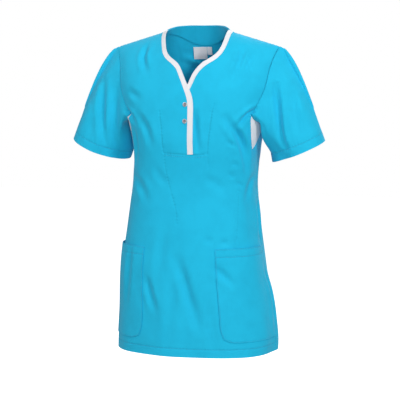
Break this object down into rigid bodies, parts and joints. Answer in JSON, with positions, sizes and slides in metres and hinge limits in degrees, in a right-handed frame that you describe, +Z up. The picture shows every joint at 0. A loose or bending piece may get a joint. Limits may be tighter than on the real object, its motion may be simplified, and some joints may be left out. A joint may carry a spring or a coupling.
{
  "type": "scrub top",
  "caption": "Short-sleeved slip-over scrub top in turquoise cloth, white bound neck with a snapped placket, white underarm inserts and patch pockets, held filled out as if worn.",
  "frame": {"origin": "midway between the two points where the shoulder seams meet the neck, where the wearer's shoulders hold it", "axes": "+Z up, -Y the wearer's front, +X the wearer's left"},
  "size_m": [0.5818, 0.2474, 0.7259],
  "materials": {
    "front": "matte",
    "back": "matte",
    "insert_right": "matte",
    "insert_left": "matte",
    "sleeve_right": "matte",
    "sleeve_left": "matte",
    "pocket_right": "matte",
    "pocket_left": "matte",
    "binding_right": "matte",
    "binding_left": "matte",
    "back_neck_facing": "matte",
    "label": "matte",
    "label_tab": "matte",
    "snap_top": "polished",
    "snap_bottom": "polished"
  },
  "bodies": {
    "root": {"front": "front", "back": "back", "insert_right": "insert_right", "insert_left": "insert_left", "sleeve_right": "sleeve_right", "sleeve_left": "sleeve_left", "pocket_right": "pocket_right", "pocket_left": "pocket_left", "binding_right": "binding_right", "binding_left": "binding_left", "back_neck_facing": "back_neck_facing", "label": "label", "label_tab": "label_tab", "snap_top": "snap_top", "snap_bottom": "snap_bottom"}
  },
  "joints": []
}
